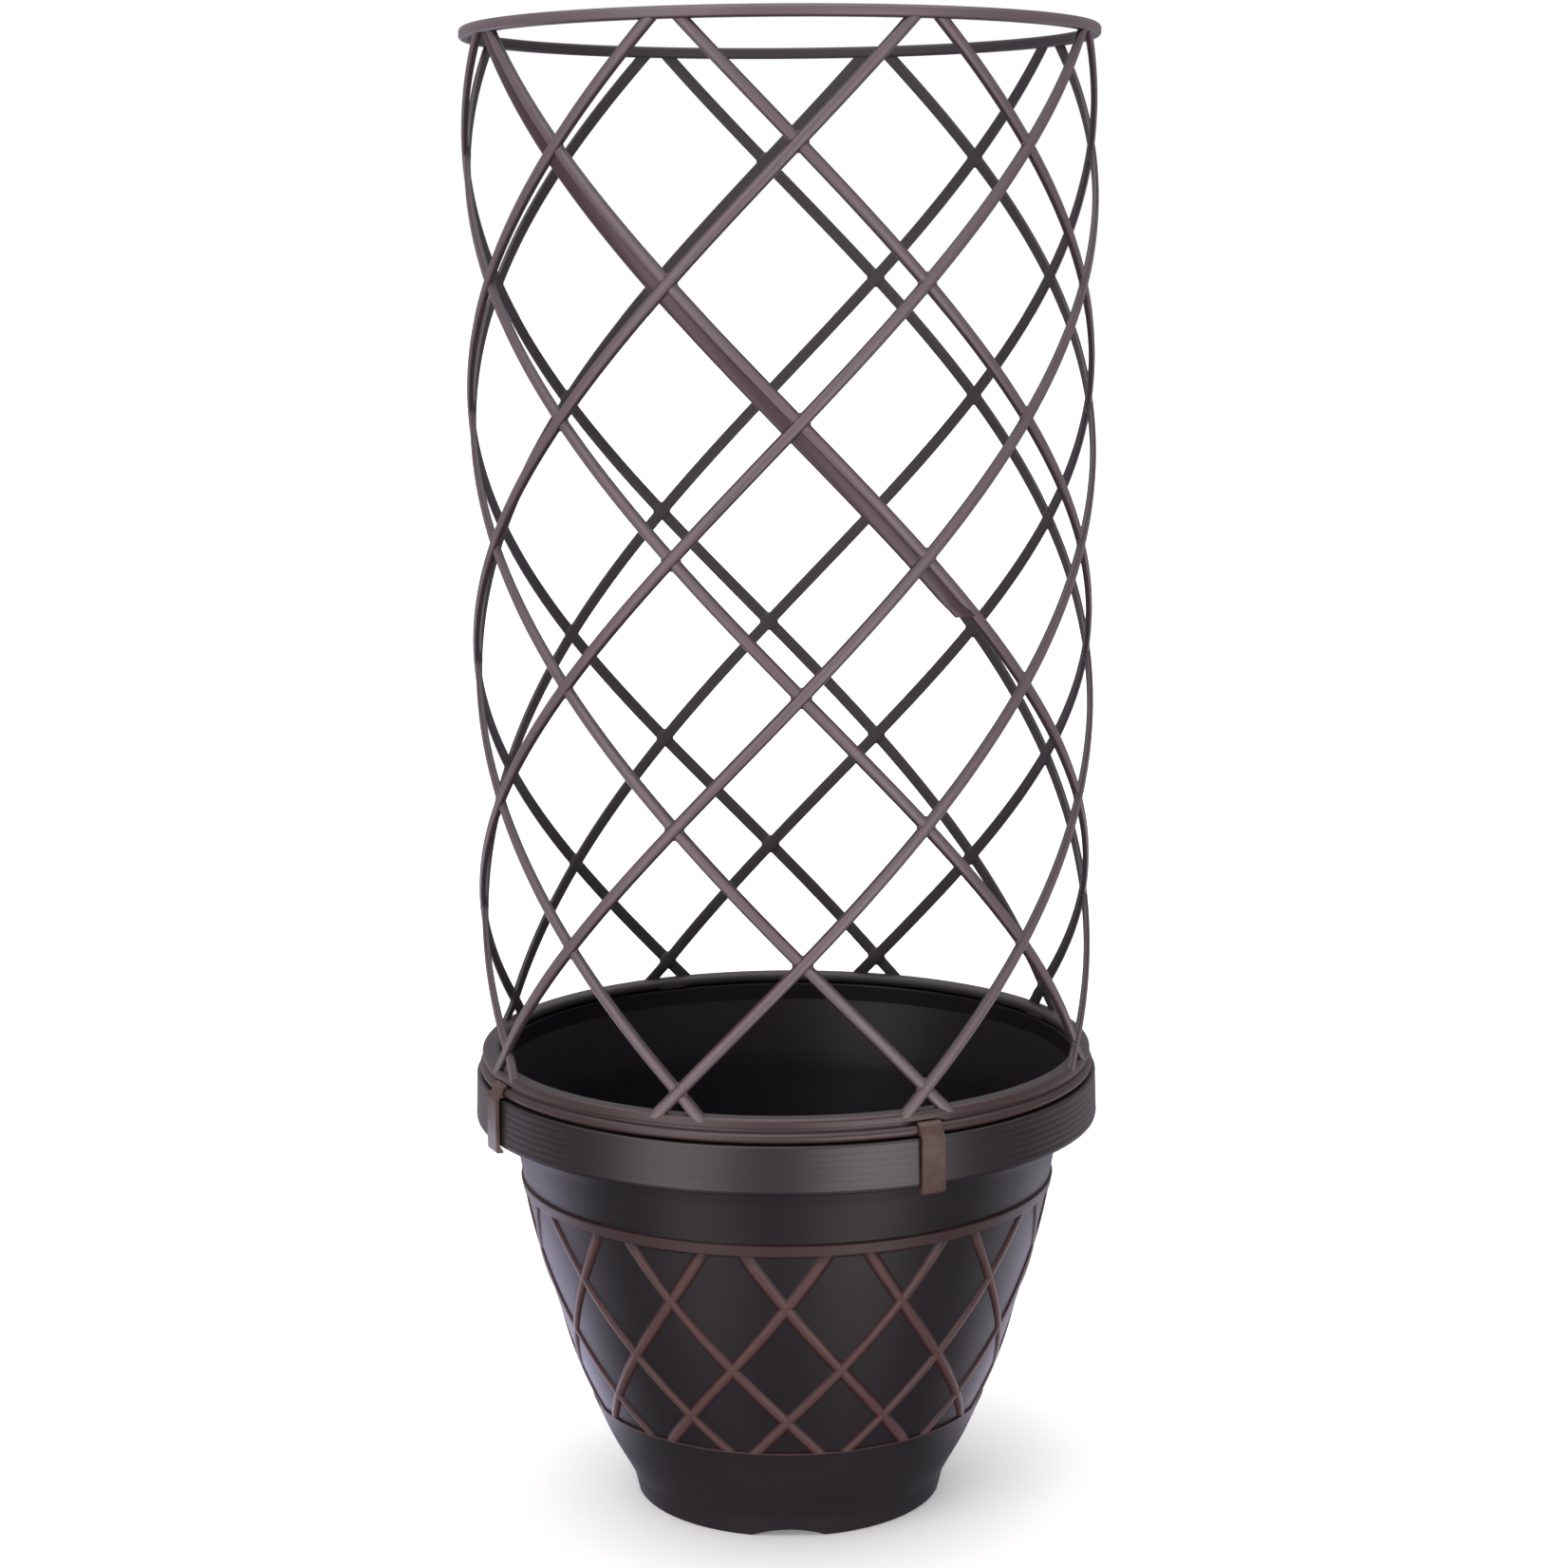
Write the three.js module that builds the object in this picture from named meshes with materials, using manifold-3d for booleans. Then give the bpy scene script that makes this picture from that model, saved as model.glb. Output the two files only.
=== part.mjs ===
// A round floor planter with a clip-on trellis. The pot has a turned-down rim, and a raised
// lip inside it. A cylinder of crossing flat strands stands on that lip by its base hoop, and
// four clips tie the hoop to the lower edge of the rim.
// Units are millimetres. +Z is up, the origin is on the ground at the pot's centre, and the
// front is towards -Y. Angles round the pot run from the front towards +X.

import * as THREE from 'three';
import { mergeVertices } from 'three/addons/utils/BufferGeometryUtils.js';
import Module from 'manifold-3d';

const wasm = await Module();
wasm.setup();

// ---------------------------------------------------------------- driving dimensions

const FIT_GAP = 0.4; // between pieces that seat on each other and come apart
const ROUND_SEGMENTS = 48; // facets round the pot and the hoops
const JAW_FACETS = 4; // in the jaw of a clip

const FOOT = {
  height: 10,
  bottomRadius: 78,
  topRadius: 80.2,
  wall: 4,
  notchCount: 4,
  notchWidth: 36,
  notchHeight: 3.4,
};

const BODY = {
  wall: 3,
  neckInset: 19.2, // from the rim's face in to the side, where the side goes up behind the rim
  neckBelowSkirt: 9,
  swellShareOut: 0.726, // control point of the side's swell, between foot and neck
  swellShareUp: 0.447,
  floor: 3,
  curvePoints: 6,
};

const UPPER_BAND = { belowNeck: 21, width: 8, relief: 1.4 };
const LOWER_BAND = { aboveFoot: 37, width: 6, relief: 1.2 };

const DRAIN = { count: 4, radius: 5, circle: 45 };

const RIM = {
  radius: 157, // outside of the skirt at its lower edge
  draft: 0.6, // the skirt leans in by this much at its shoulder
  shoulderHeight: 221.4,
  skirtHeight: 23.4,
  wall: 2.6,
  edgeRound: 1.8,
  shoulderRound: 1.6,
};

const LIP = {
  inset: 12, // from the rim's face in to the lip's inside
  width: 4.1,
  height: 6.6,
  round: 1.1,
};

const BEAD = { radius: 2.65, webThickness: 1.4 };

const BASE_HOOP = {
  overhang: 0.5, // inwards, past the lip
  grooveDepth: 2.6, // from the hoop's outside in to the web, above the bead
  bodyHeight: 4.4,
  innerEdge: 2.2,
  outerEdge: 0.8,
};

const TOP_HOOP = { width: 5.6, height: 5.7, edge: 0.7 };

const TRELLIS = {
  flare: 2.6, // how much wider it is at the top hoop than at the base hoop
  openHeight: 496.4, // clear height between the two hoops
  columns: 8, // strands in each layer
  rows: 8, // crossings along each strand
  topCrossingRise: 8, // first crossing, above the underside of the top hoop
  lowCrossingRise: 9.9, // last crossing, above the top of the base hoop
  turn: -19.5, // degrees from the front to the first crossing
};

const STRAND = {
  width: 5.8,
  thickness: 2.2,
  edgeThickness: 1.3,
  crownShare: 0.4, // flat part of the domed face, as a share of the width
  layerGap: 0.3,
  steps: 18,
};

const SEAM = { column: 7, gap: 0.15, rowCount: 4.45 };

const CLIP = {
  count: 4,
  width: 12,
  thickness: 2,
  play: 0.35,
  fingerThickness: 1.3,
  fingerEnd: 76, // degrees that the finger reaches round the bead, from straight out
  jawEnd: -46, // degrees to its lower end
  hookReach: 1.9, // inwards from the strap, under the rim
  hookDrop: 3, // lowest point, below the rim
  hookTipHeight: 0.6,
  column: 7, // the first clip stands under this column of crossings
};

// Raised lattice round the side, between the bands. Its ribs wind at 45 degrees on paper, and
// the rows are set closer together further down, as the side draws in.
const RELIEF = {
  height: 1.1,
  columns: 14, // ribs in each direction
  firstRowBelowBand: 26.6, // first whole row of crossings, below the upper band
  rowHeight: 34.6, // from the first row to the second
  rowRatio: 0.857, // height of each row to that of the row above it
  ribWidth: 5.2, // at the rib's foot
  draft: 0.7, // each side of a rib leans in by this much towards its crest
  pocketSteps: 2, // facets along each side of a pocket between the ribs
};

// ---------------------------------------------------------------- worked out from them

const skirtBottom = RIM.shoulderHeight - RIM.skirtHeight;
const neckHeight = skirtBottom - BODY.neckBelowSkirt;
const neckRadius = RIM.radius - BODY.neckInset;
const bands = [
  { ...UPPER_BAND, bottom: neckHeight - UPPER_BAND.belowNeck - UPPER_BAND.width },
  { ...LOWER_BAND, bottom: FOOT.height + LOWER_BAND.aboveFoot },
];
const reliefTurnPerRow = Math.PI / RELIEF.columns;
const firstReliefRow = bands[0].bottom - RELIEF.firstRowBelowBand;
const lipTop = RIM.shoulderHeight + LIP.height;
const lipInnerRadius = RIM.radius - LIP.inset;
const lipOuterRadius = lipInnerRadius + LIP.width;

const webInnerRadius = lipOuterRadius + FIT_GAP;
const webOuterRadius = webInnerRadius + BEAD.webThickness;
const beadCentreRadius = webInnerRadius + BEAD.radius;
const beadCentreHeight = RIM.shoulderHeight + FIT_GAP + BEAD.radius;
const grooveBottom = beadCentreHeight + BEAD.radius;
const grooveTop = grooveBottom + CLIP.fingerThickness + 2 * CLIP.play;
const baseHoopTop = grooveTop + BASE_HOOP.bodyHeight;
const baseHoopInner = lipInnerRadius - BASE_HOOP.overhang;
const baseHoopOuter = webOuterRadius + BASE_HOOP.grooveDepth;
const topHoopUnderside = baseHoopTop + TRELLIS.openHeight;

// The strands stand on the middle of the base hoop's flat top. Both radii are those of the
// middle of the two layers of strands.
const lowRadius = (baseHoopInner + BASE_HOOP.innerEdge + baseHoopOuter - BASE_HOOP.outerEdge) / 2;
const highRadius = lowRadius + TRELLIS.flare;

const topCrossing = topHoopUnderside + TRELLIS.topCrossingRise;
const lowCrossing = baseHoopTop + TRELLIS.lowCrossingRise;
const rowHeight = (topCrossing - lowCrossing) / TRELLIS.rows;
const columnAngle = 2 * Math.PI / TRELLIS.columns;
const turnPerRow = columnAngle / 2;
const firstCrossing = THREE.MathUtils.degToRad(TRELLIS.turn);

// ---------------------------------------------------------------- helpers

function closedSolid(geometry) {
  const bare = geometry.clone();
  bare.deleteAttribute('normal');
  bare.deleteAttribute('uv');
  const welded = mergeVertices(bare);
  return new wasm.Manifold(new wasm.Mesh({
    numProp: 3,
    vertProperties: new Float32Array(welded.attributes.position.array),
    triVerts: new Uint32Array(welded.index.array),
  }));
}

function geometryOf(solid) {
  const mesh = solid.getMesh();
  const geometry = new THREE.BufferGeometry();
  geometry.setAttribute('position', new THREE.BufferAttribute(new Float32Array(mesh.vertProperties), 3));
  geometry.setIndex(new THREE.BufferAttribute(new Uint32Array(mesh.triVerts), 1));
  geometry.computeVertexNormals();
  return geometry;
}

// A profile of [radius, height] points turned about the Z axis.
function turned(profile) {
  const points = profile.map(([radius, height]) => new THREE.Vector2(radius, height));
  return new THREE.LatheGeometry(points, ROUND_SEGMENTS).rotateX(Math.PI / 2);
}

function plastic(color, roughness) {
  return new THREE.MeshStandardMaterial({ color, roughness, metalness: 0.1 });
}

function named(name, geometry, material, angle = 0) {
  const mesh = new THREE.Mesh(geometry, material.clone());
  mesh.name = name;
  mesh.rotation.z = angle;
  return mesh;
}

// ---------------------------------------------------------------- pot

const sideCurve = new THREE.QuadraticBezierCurve(
  new THREE.Vector2(FOOT.topRadius, FOOT.height),
  new THREE.Vector2(
    THREE.MathUtils.lerp(FOOT.topRadius, neckRadius, BODY.swellShareOut),
    THREE.MathUtils.lerp(FOOT.height, neckHeight, BODY.swellShareUp),
  ),
  new THREE.Vector2(neckRadius, neckHeight),
);

// Outside radius of the pot's side at a height, found along the curve by halving.
function sideRadius(height) {
  let low = 0;
  let high = 1;
  for (let i = 0; i < 40; i += 1) {
    const middle = (low + high) / 2;
    if (sideCurve.getPoint(middle).y < height) low = middle;
    else high = middle;
  }
  return sideCurve.getPoint(low).x;
}

// The side from foot to neck, with each raised band as a flat-topped rib, and the zone of the
// raised lattice between them at the level of its crests.
function sideProfile() {
  const profile = [];
  for (let i = 0; i < BODY.curvePoints; i += 1) {
    const point = sideCurve.getPoint(i / (BODY.curvePoints - 1));
    const nearBand = bands.some((band) => Math.abs(point.y - band.bottom - band.width / 2)
      < band.width / 2 + 2 * band.relief);
    if (!nearBand) profile.push([point.x, point.y]);
  }
  for (const { bottom, width, relief } of bands) {
    const top = bottom + width;
    profile.push([sideRadius(bottom), bottom]);
    profile.push([sideRadius(bottom + relief) + relief, bottom + relief]);
    profile.push([sideRadius(top - relief) + relief, top - relief]);
    profile.push([sideRadius(top), top]);
  }
  const [upper, lower] = bands;
  for (const point of profile) {
    const height = point[1];
    const onLattice = height >= lower.bottom + lower.width && height <= upper.bottom;
    if (onLattice) point[0] += RELIEF.height;
  }
  return profile.sort((a, b) => a[1] - b[1]);
}

function insideProfile() {
  const floorTop = FOOT.height + BODY.floor;
  const profile = [];
  for (let i = BODY.curvePoints - 1; i > 0; i -= 1) {
    const point = sideCurve.getPoint(i / (BODY.curvePoints - 1));
    if (point.y > floorTop + BODY.wall) profile.push([point.x - BODY.wall, point.y]);
  }
  profile.push([sideRadius(floorTop + BODY.wall) - BODY.wall, floorTop + BODY.wall]);
  profile.push([sideRadius(floorTop) - 2 * BODY.wall, floorTop]);
  profile.push([0, floorTop]);
  return profile;
}

function potProfile() {
  const shoulderRadius = RIM.radius - RIM.draft;
  const underShoulder = RIM.shoulderHeight - RIM.wall;
  const skirtInside = shoulderRadius - RIM.wall;
  return [
    [0, FOOT.height],
    [FOOT.topRadius - FOOT.wall - BODY.wall, FOOT.height],
    [FOOT.bottomRadius - FOOT.wall, FOOT.height - BODY.wall],
    [FOOT.bottomRadius - FOOT.wall, 0],
    [FOOT.bottomRadius, 0],
    ...sideProfile(),
    [lipInnerRadius + BODY.wall, underShoulder],
    [skirtInside, underShoulder],
    [skirtInside, skirtBottom + RIM.edgeRound / 3],
    [skirtInside + RIM.wall / 4, skirtBottom],
    [RIM.radius - RIM.edgeRound / 2, skirtBottom + RIM.edgeRound / 4],
    [RIM.radius, skirtBottom + RIM.edgeRound],
    [shoulderRadius, RIM.shoulderHeight - RIM.shoulderRound],
    [shoulderRadius - RIM.shoulderRound, RIM.shoulderHeight],
    [lipOuterRadius, RIM.shoulderHeight],
    [lipOuterRadius, lipTop - LIP.round],
    [lipOuterRadius - LIP.round, lipTop],
    [lipInnerRadius + LIP.round, lipTop],
    [lipInnerRadius, lipTop - LIP.round],
    [lipInnerRadius, underShoulder],
    ...insideProfile(),
  ];
}

// A shallow arch through the foot, pointing to the front before it is turned in place.
function footNotch() {
  const halfWidth = FOOT.notchWidth / 2;
  const radius = (halfWidth ** 2 + FOOT.notchHeight ** 2) / (2 * FOOT.notchHeight);
  const halfAngle = Math.asin(halfWidth / radius);
  const arch = new THREE.Shape();
  arch.absarc(0, FOOT.notchHeight - radius, radius, Math.PI / 2 - halfAngle, Math.PI / 2 + halfAngle);
  arch.lineTo(-halfWidth, -FOOT.notchHeight);
  arch.lineTo(halfWidth, -FOOT.notchHeight);
  const length = 3 * FOOT.wall;
  const cutter = new THREE.ExtrudeGeometry(arch, { depth: length, bevelEnabled: false, curveSegments: 8 });
  return cutter.rotateX(Math.PI / 2).translate(0, -(FOOT.bottomRadius - 2 * FOOT.wall), 0);
}

function drainHole() {
  const hole = new THREE.CylinderGeometry(DRAIN.radius, DRAIN.radius, 4 * BODY.floor, 16);
  return hole.rotateX(Math.PI / 2).translate(0, -DRAIN.circle, FOOT.height);
}

// Height on the side of a rib that has turned by an angle since the first row of crossings.
function heightAfterTurn(turn) {
  const { rowHeight: height, rowRatio } = RELIEF;
  return firstReliefRow - height * (1 - rowRatio ** (turn / reliefTurnPerRow)) / (1 - rowRatio);
}

// What is cut away between four ribs of the raised lattice: a square in the plane of the two
// windings, stood on its corner and wrapped on the side.
function reliefPocket(row) {
  const middleTurn = row * reliefTurnPerRow;
  const radius = sideRadius(heightAfterTurn(middleTurn));
  const cutter = new THREE.BoxGeometry(1, 1, 1, RELIEF.pocketSteps, RELIEF.pocketSteps, 1);
  const points = cutter.attributes.position;
  for (let i = 0; i < points.count; i += 1) {
    const above = points.getZ(i) < 0 ? 0 : 2 * RELIEF.height;
    const lean = RELIEF.draft * above / RELIEF.height;
    const reach = reliefTurnPerRow - (RELIEF.ribWidth - 2 * lean) / Math.SQRT2 / radius;
    const turn = middleTurn + reach * (points.getX(i) - points.getY(i));
    const angle = reach * (points.getX(i) + points.getY(i));
    const height = heightAfterTurn(turn);
    const out = sideRadius(height) + above;
    points.setXYZ(i, out * Math.sin(angle), -out * Math.cos(angle), height);
  }
  return cutter;
}

function reliefPockets() {
  const [upper, lower] = bands;
  const pockets = [];
  for (let row = -1; row < 4; row += 1) {
    for (let column = 0; column < RELIEF.columns; column += 1) {
      const angle = reliefTurnPerRow * (2 * column + 1 + Math.abs(row % 2));
      pockets.push(closedSolid(reliefPocket(row).rotateZ(angle)));
    }
  }
  const all = wasm.Manifold.union(pockets);
  return all.trimByPlane([0, 0, 1], lower.bottom + lower.width).trimByPlane([0, 0, -1], -upper.bottom);
}

function potGeometry() {
  let pot = closedSolid(turned(potProfile())).subtract(reliefPockets());
  for (let i = 0; i < FOOT.notchCount; i += 1) {
    pot = pot.subtract(closedSolid(footNotch().rotateZ(2 * Math.PI * i / FOOT.notchCount)));
  }
  for (let i = 0; i < DRAIN.count; i += 1) {
    const angle = 2 * Math.PI * (i + 0.5) / DRAIN.count;
    pot = pot.subtract(closedSolid(drainHole().rotateZ(angle)));
  }
  return geometryOf(pot);
}

// ---------------------------------------------------------------- hoops

function circlePoint(radius, degrees) {
  const angle = THREE.MathUtils.degToRad(degrees);
  return [beadCentreRadius + radius * Math.cos(angle), beadCentreHeight + radius * Math.sin(angle)];
}

// The base hoop caps the lip: a flat-topped ring above it, a web down its outside, and a
// round bead at the foot of the web that the clips turn on.
function baseHoopProfile() {
  const bead = [-135, -90, -45, 0, 45, 90].map((degrees) => circlePoint(BEAD.radius, degrees));
  const profile = [
    [webInnerRadius, beadCentreHeight],
    ...bead,
    [webOuterRadius, grooveBottom],
    [webOuterRadius, grooveTop],
    [baseHoopOuter, grooveTop],
    [baseHoopOuter, baseHoopTop - BASE_HOOP.innerEdge],
    [baseHoopOuter - BASE_HOOP.outerEdge, baseHoopTop],
    [baseHoopInner + BASE_HOOP.innerEdge, baseHoopTop],
    [baseHoopInner, baseHoopTop - BASE_HOOP.innerEdge],
    [baseHoopInner, lipTop + FIT_GAP],
    [webInnerRadius, lipTop + FIT_GAP],
    [webInnerRadius, beadCentreHeight],
  ];
  return profile;
}

function topHoopProfile() {
  const inner = highRadius - TOP_HOOP.width / 2;
  const outer = highRadius + TOP_HOOP.width / 2;
  const bottom = topHoopUnderside;
  const top = bottom + TOP_HOOP.height;
  const { edge } = TOP_HOOP;
  return [
    [inner + edge, bottom],
    [outer - edge, bottom],
    [outer, bottom + edge],
    [outer, top - edge],
    [outer - edge, top],
    [inner + edge, top],
    [inner, top - edge],
    [inner, bottom + edge],
    [inner + edge, bottom],
  ];
}

// ---------------------------------------------------------------- strands

const strandRise = Math.atan2(rowHeight, highRadius * turnPerRow);
const widthAlongHoop = STRAND.width / Math.sin(strandRise);
const turnPerMillimetre = turnPerRow / rowHeight;
const stepAngle = turnPerMillimetre * TRELLIS.openHeight / STRAND.steps;

// Facets along and across a strand cut inside the round, so the outer layer stands clear of that.
const stepSag = highRadius * (1 - Math.cos(stepAngle / 2));
const widthSag = widthAlongHoop ** 2 / (8 * highRadius);
const halfLayerSpace = (STRAND.layerGap + stepSag + widthSag) / 2;

// Level slice through a strand: flat inside, domed outside, facing the front.
function strandSlice(insideRadius) {
  const half = widthAlongHoop / 2;
  const crown = half * STRAND.crownShare;
  const slice = new THREE.Shape();
  slice.moveTo(-half, -insideRadius);
  slice.lineTo(-half, -insideRadius - STRAND.edgeThickness);
  slice.lineTo(-crown, -insideRadius - STRAND.thickness);
  slice.lineTo(crown, -insideRadius - STRAND.thickness);
  slice.lineTo(half, -insideRadius - STRAND.edgeThickness);
  slice.lineTo(half, -insideRadius);
  slice.closePath();
  return slice;
}

// The slice is extruded from hoop to hoop, wound about the Z axis and drawn in towards the
// base. hand is +1 where the strand winds towards +X on its way down, and -1 the other way.
function strandGeometry(insideRadius, hand, rowsDown) {
  const fullLength = TRELLIS.openHeight;
  const length = Math.min(fullLength, rowsDown * rowHeight - TRELLIS.topCrossingRise);
  const steps = Math.ceil(STRAND.steps * length / fullLength);
  const geometry = new THREE.ExtrudeGeometry(strandSlice(insideRadius), {
    depth: length,
    steps,
    bevelEnabled: false,
  });
  geometry.translate(0, 0, topHoopUnderside - length);
  const points = geometry.attributes.position;
  const point = new THREE.Vector3();
  const axis = new THREE.Vector3(0, 0, 1);
  for (let i = 0; i < points.count; i += 1) {
    point.fromBufferAttribute(points, i);
    const down = (topHoopUnderside - point.z) / fullLength;
    const radius = Math.hypot(point.x, point.y);
    const drawn = (radius - TRELLIS.flare * down ** 2) / radius;
    point.x *= drawn;
    point.y *= drawn;
    point.applyAxisAngle(axis, hand * turnPerMillimetre * (topCrossing - point.z));
    points.setXYZ(i, point.x, point.y, point.z);
  }
  return geometry;
}

const allRows = TRELLIS.rows + 1;
const innerLayerRadius = highRadius - halfLayerSpace - STRAND.thickness;
const outerLayerRadius = highRadius + halfLayerSpace;

function columnStart(column) {
  return firstCrossing + column * columnAngle;
}

// ---------------------------------------------------------------- clips

// Side view of a clip, x outwards from the pot's axis and y up: a jaw round the hoop's bead,
// a strap down the face of the rim, and a hook under the rim's lower edge. The hook's upper
// side slopes, so that it rides out over the edge as the clip is pulled up.
function clipProfile() {
  const strapInside = RIM.radius + CLIP.play;
  const strapOutside = strapInside + CLIP.thickness;
  const hookTip = strapInside - CLIP.hookReach;
  const hookBottom = skirtBottom - CLIP.hookDrop;
  const jawInside = BEAD.radius + CLIP.play;
  const jawOutside = jawInside + CLIP.fingerThickness;
  const facetAngle = THREE.MathUtils.degToRad((CLIP.fingerEnd - CLIP.jawEnd) / JAW_FACETS);
  const roundedJaw = jawInside / Math.cos(facetAngle / 2);
  const jawLow = circlePoint(jawInside, CLIP.jawEnd);
  const profile = new THREE.Shape();
  profile.moveTo(...circlePoint(jawInside, CLIP.fingerEnd));
  for (let i = 1; i <= JAW_FACETS; i += 1) {
    const degrees = THREE.MathUtils.lerp(CLIP.fingerEnd, CLIP.jawEnd, i / JAW_FACETS);
    profile.lineTo(...circlePoint(roundedJaw, degrees));
  }
  profile.lineTo(strapInside - CLIP.play, jawLow[1]);
  profile.lineTo(strapInside, RIM.shoulderHeight - RIM.shoulderRound);
  profile.lineTo(strapInside, skirtBottom + RIM.edgeRound / 2);
  profile.lineTo(hookTip, hookBottom + CLIP.hookTipHeight);
  profile.lineTo(hookTip, hookBottom);
  profile.lineTo(strapOutside - CLIP.thickness / 3, hookBottom);
  profile.lineTo(strapOutside, hookBottom + CLIP.thickness / 2);
  profile.lineTo(strapOutside, beadCentreHeight);
  profile.lineTo(...circlePoint(jawOutside, CLIP.fingerEnd / 2));
  profile.lineTo(...circlePoint(jawOutside, CLIP.fingerEnd));
  profile.closePath();
  return profile;
}

// Extruded across the strap's width, then stood up facing the front.
function clipGeometry() {
  const geometry = new THREE.ExtrudeGeometry(clipProfile(), { depth: CLIP.width, bevelEnabled: false });
  return geometry.translate(0, 0, -CLIP.width / 2).rotateX(Math.PI / 2).rotateZ(-Math.PI / 2);
}

// ---------------------------------------------------------------- assembly

const potPlastic = plastic(0x3b373d, 0.45);
const trellisPlastic = plastic(0x645a5f, 0.5);
const clipPlastic = plastic(0x594544, 0.5);

const planter = new THREE.Group();
planter.add(named('pot', potGeometry(), potPlastic));

const trellis = new THREE.Group();
trellis.add(named('base_hoop', turned(baseHoopProfile()), trellisPlastic));
trellis.add(named('top_hoop', turned(topHoopProfile()), trellisPlastic));
for (let column = 0; column < TRELLIS.columns; column += 1) {
  const angle = columnStart(column);
  const inner = strandGeometry(innerLayerRadius, 1, allRows);
  const outer = strandGeometry(outerLayerRadius, -1, allRows);
  trellis.add(named(`inner_strand_${column + 1}`, inner, trellisPlastic, angle));
  trellis.add(named(`outer_strand_${column + 1}`, outer, trellisPlastic, angle));
}
const seamShift = (widthAlongHoop + SEAM.gap / Math.sin(strandRise)) / innerLayerRadius;
const seamStrand = strandGeometry(innerLayerRadius, 1, SEAM.rowCount);
trellis.add(named('seam_strand', seamStrand, trellisPlastic, columnStart(SEAM.column) - seamShift));
planter.add(trellis);

for (let i = 0; i < CLIP.count; i += 1) {
  const angle = columnStart(CLIP.column) + 2 * Math.PI * i / CLIP.count;
  planter.add(named(`rim_clip_${i + 1}`, clipGeometry(), clipPlastic, angle));
}

export default planter;
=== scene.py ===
"""Dresses the planter with trellis: a moulded pot with a raised lattice, a trellis of wound strands that stands
on the pot's lip, and four clips that tie the trellis to the pot's rim.

Lengths in the settings are in metres. Angles round the planter run from the front (-Y) towards +X.
"""

import math

import bmesh
import bpy
import numpy as np
from mathutils import Matrix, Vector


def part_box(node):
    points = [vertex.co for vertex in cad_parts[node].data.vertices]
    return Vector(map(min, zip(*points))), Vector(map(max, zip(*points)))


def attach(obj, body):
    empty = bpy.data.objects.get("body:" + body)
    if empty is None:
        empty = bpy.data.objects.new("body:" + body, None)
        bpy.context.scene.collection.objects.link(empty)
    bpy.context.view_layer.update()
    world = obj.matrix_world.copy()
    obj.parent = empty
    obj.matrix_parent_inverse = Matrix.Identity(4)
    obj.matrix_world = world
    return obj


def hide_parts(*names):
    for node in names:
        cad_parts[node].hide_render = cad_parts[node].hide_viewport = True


bl_info = {
    "name": "Planter with trellis",
    "version": (1, 0, 0),
    "blender": (4, 5, 0),
    "location": "View3D > Sidebar > Planter",
    "description": "Makes the pot, trellis, clips and studio of a planter with a clip-on trellis",
    "category": "Object",
}

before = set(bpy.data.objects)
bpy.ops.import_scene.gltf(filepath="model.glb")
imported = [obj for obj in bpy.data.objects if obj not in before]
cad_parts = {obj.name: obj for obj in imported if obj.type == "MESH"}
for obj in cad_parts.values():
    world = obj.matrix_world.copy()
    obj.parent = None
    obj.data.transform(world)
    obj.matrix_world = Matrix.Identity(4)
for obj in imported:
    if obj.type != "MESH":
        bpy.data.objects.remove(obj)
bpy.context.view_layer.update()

STRANDS = 8  # in each layer of the trellis, and columns of crossings round it
FRONT_COLUMN = math.radians(-19.5)  # the crossing nearest the front, and the start of each count of columns
CLIPS = 4
FIRST_CLIP = FRONT_COLUMN + math.radians(7 * 45)  # under the eighth column, where the seam's strand starts

# The pot's side, as the control points (radius, height) of one curve from the foot to the neck.
SIDE = ((0.0802, 0.010), (0.122018, 0.090013), (0.1378, 0.189))
# The inside faces of the trellis's inner strands, as the same kind of curve from the base hoop to the top hoop.
CAGE = ((0.14806, 0.2335), (0.14976, 0.4817), (0.14976, 0.7299))
BASE_HOOP_TOP = CAGE[0][1]
TOP_HOOP_UNDERSIDE = CAGE[2][1]
BEAD_CENTRE = (0.15215, 0.22445)  # radius and height of the middle of the base hoop's bead
BEAD_RADIUS = 0.00265


def side_share(height):
    """How far along the side's curve a height or an array of heights comes, from 0 at the foot to 1 at the neck."""
    (_, z0), (_, z1), (_, z2) = SIDE
    bend = z0 - 2 * z1 + z2
    lead = 2 * (z1 - z0)
    return (np.sqrt(lead * lead - 4 * bend * (z0 - height)) - lead) / (2 * bend)


def side_radius(height):
    """Outside radius of the pot's side at a height or an array of heights."""
    (r0, _), (r1, _), (r2, _) = SIDE
    share = side_share(height)
    return r0 * (1 - share) ** 2 + 2 * r1 * share * (1 - share) + r2 * share ** 2


def smooth_step(low, high, value):
    share = np.clip((value - low) / (high - low), 0, 1)
    return share * share * (3 - 2 * share)


def linear(red, green, blue):
    """A colour given as 0 to 255 on a screen, as Blender's linear colour with full alpha."""
    parts = [c / 255 for c in (red, green, blue)]
    return tuple(p / 12.92 if p <= 0.04045 else ((p + 0.055) / 1.055) ** 2.4 for p in parts) + (1.0,)


# ---------------------------------------------------------------- node trees

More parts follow.
